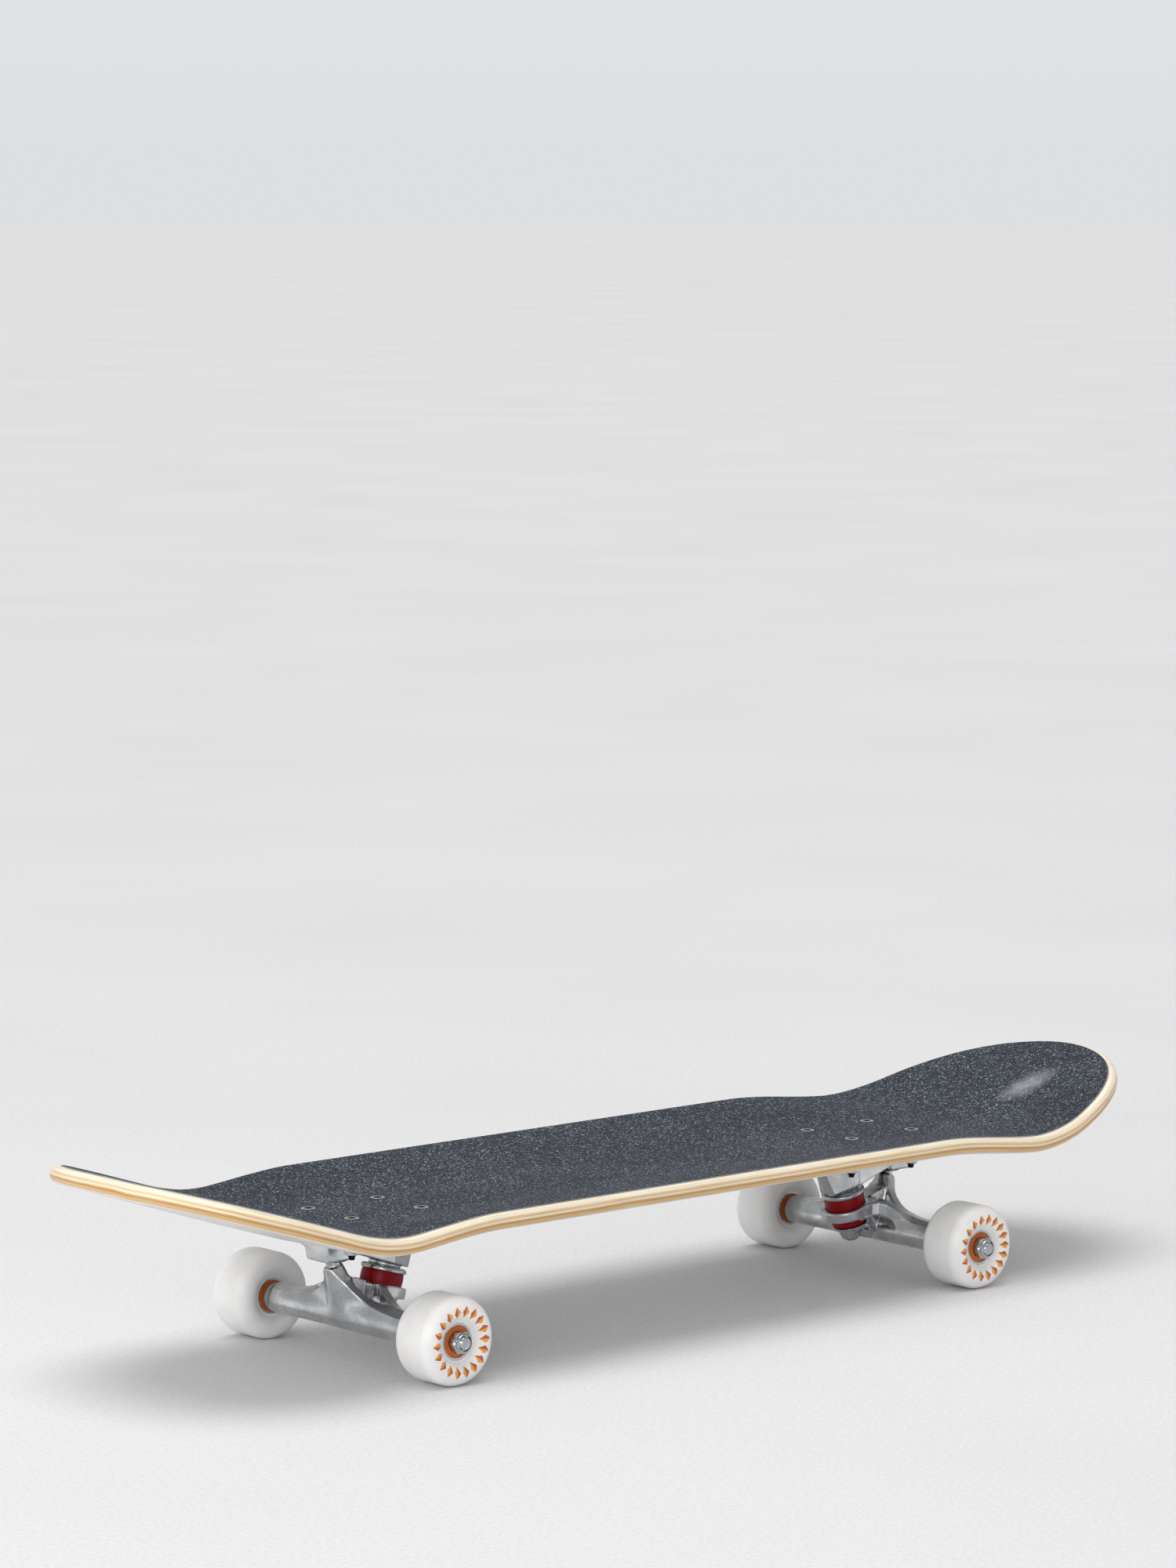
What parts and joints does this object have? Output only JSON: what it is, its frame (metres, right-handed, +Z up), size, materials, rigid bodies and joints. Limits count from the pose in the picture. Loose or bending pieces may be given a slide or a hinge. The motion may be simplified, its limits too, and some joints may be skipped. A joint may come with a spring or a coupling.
{
  "type": "skateboard",
  "caption": "Street skateboard with a kicked, concave ply deck, grip tape, kingpin trucks that lean to steer, and urethane wheels on ball bearings.",
  "frame": {"origin": "on the ground, below the middle of the deck", "axes": "+X to the nose, +Y to the left side, +Z up"},
  "size_m": [0.8238, 0.216, 0.1349],
  "materials": {
    "maple_ply": "pressed maple plies, lacquered edge",
    "grip": "grit-coated tape, matt",
    "black_steel": "black oxide",
    "cast_aluminium": "raw die-cast, satin",
    "zinc_steel": "zinc plated",
    "black_urethane": "moulded",
    "red_urethane": "cast, slightly glossy",
    "white_urethane": "cast, satin",
    "bearing_steel": "ground",
    "nylon": "moulded",
    "orange_rubber": "moulded, satin"
  },
  "bodies": {
    "board": {"deck": "maple_ply", "grip_tape": "grip", "front_mounting_bolts": "black_steel", "front_mounting_nuts": "black_steel", "front_baseplate": "cast_aluminium", "front_pivot_cup": "black_urethane", "front_kingpin": "zinc_steel", "front_kingpin_nut": "zinc_steel", "front_top_washer": "zinc_steel", "front_bottom_washer": "zinc_steel", "front_top_bushing": "red_urethane", "front_bottom_bushing": "red_urethane", "rear_mounting_bolts": "black_steel", "rear_mounting_nuts": "black_steel", "rear_baseplate": "cast_aluminium", "rear_pivot_cup": "black_urethane", "rear_kingpin": "zinc_steel", "rear_kingpin_nut": "zinc_steel", "rear_top_washer": "zinc_steel", "rear_bottom_washer": "zinc_steel", "rear_top_bushing": "red_urethane", "rear_bottom_bushing": "red_urethane"},
    "front_axle_assembly": {"front_hanger": "cast_aluminium", "front_axle": "zinc_steel", "front_axle_nuts": "zinc_steel", "front_speed_washers": "zinc_steel", "front_left_inner_races": "bearing_steel", "front_right_inner_races": "bearing_steel"},
    "front_left_wheel_assembly": {"front_left_wheel": "white_urethane", "front_left_outer_races": "bearing_steel", "front_left_shields": "orange_rubber"},
    "front_left_ball_set": {"front_left_balls": "bearing_steel", "front_left_cages": "nylon"},
    "front_right_wheel_assembly": {"front_right_wheel": "white_urethane", "front_right_outer_races": "bearing_steel", "front_right_shields": "orange_rubber"},
    "front_right_ball_set": {"front_right_balls": "bearing_steel", "front_right_cages": "nylon"},
    "rear_axle_assembly": {"rear_hanger": "cast_aluminium", "rear_axle": "zinc_steel", "rear_axle_nuts": "zinc_steel", "rear_speed_washers": "zinc_steel", "rear_left_inner_races": "bearing_steel", "rear_right_inner_races": "bearing_steel"},
    "rear_left_wheel_assembly": {"rear_left_wheel": "white_urethane", "rear_left_outer_races": "bearing_steel", "rear_left_shields": "orange_rubber"},
    "rear_left_ball_set": {"rear_left_balls": "bearing_steel", "rear_left_cages": "nylon"},
    "rear_right_wheel_assembly": {"rear_right_wheel": "white_urethane", "rear_right_outer_races": "bearing_steel", "rear_right_shields": "orange_rubber"},
    "rear_right_ball_set": {"rear_right_balls": "bearing_steel", "rear_right_cages": "nylon"}
  },
  "joints": [
    {"name": "front_steer", "type": "hinge", "parent": "board", "child": "front_axle_assembly", "pos_m": [0.1967, 0, 0.0403], "axis": [0.7981, 0, 0.6026], "range_deg": [-12, 12], "stiffness_Nm_per_rad": 50, "deforming": ["front_top_bushing", "front_bottom_bushing"]},
    {"name": "front_left_spin", "type": "hinge", "parent": "front_axle_assembly", "child": "front_left_wheel_assembly", "pos_m": [0.21937, 0.0875, 0.027], "axis": [0, 1, 0], "continuous": true},
    {"name": "front_left_cage_spin", "type": "hinge", "parent": "front_axle_assembly", "child": "front_left_ball_set", "pos_m": [0.21937, 0.0875, 0.027], "axis": [0, 1, 0], "continuous": true},
    {"name": "front_right_spin", "type": "hinge", "parent": "front_axle_assembly", "child": "front_right_wheel_assembly", "pos_m": [0.21937, -0.0875, 0.027], "axis": [0, 1, 0], "continuous": true},
    {"name": "front_right_cage_spin", "type": "hinge", "parent": "front_axle_assembly", "child": "front_right_ball_set", "pos_m": [0.21937, -0.0875, 0.027], "axis": [0, 1, 0], "continuous": true},
    {"name": "rear_steer", "type": "hinge", "parent": "board", "child": "rear_axle_assembly", "pos_m": [-0.1967, 0, 0.0403], "axis": [-0.7981, 0, 0.6026], "range_deg": [-12, 12], "stiffness_Nm_per_rad": 50, "deforming": ["rear_top_bushing", "rear_bottom_bushing"]},
    {"name": "rear_left_spin", "type": "hinge", "parent": "rear_axle_assembly", "child": "rear_left_wheel_assembly", "pos_m": [-0.21937, 0.0875, 0.027], "axis": [0, 1, 0], "continuous": true},
    {"name": "rear_left_cage_spin", "type": "hinge", "parent": "rear_axle_assembly", "child": "rear_left_ball_set", "pos_m": [-0.21937, 0.0875, 0.027], "axis": [0, 1, 0], "continuous": true},
    {"name": "rear_right_spin", "type": "hinge", "parent": "rear_axle_assembly", "child": "rear_right_wheel_assembly", "pos_m": [-0.21937, -0.0875, 0.027], "axis": [0, 1, 0], "continuous": true},
    {"name": "rear_right_cage_spin", "type": "hinge", "parent": "rear_axle_assembly", "child": "rear_right_ball_set", "pos_m": [-0.21937, -0.0875, 0.027], "axis": [0, 1, 0], "continuous": true}
  ],
  "couplings": [
    {"joint": "front_left_cage_spin", "follows": "front_left_spin", "ratio": 0.6323},
    {"joint": "front_right_cage_spin", "follows": "front_right_spin", "ratio": 0.6323},
    {"joint": "rear_left_cage_spin", "follows": "rear_left_spin", "ratio": 0.6323},
    {"joint": "rear_right_cage_spin", "follows": "rear_right_spin", "ratio": 0.6323}
  ]
}
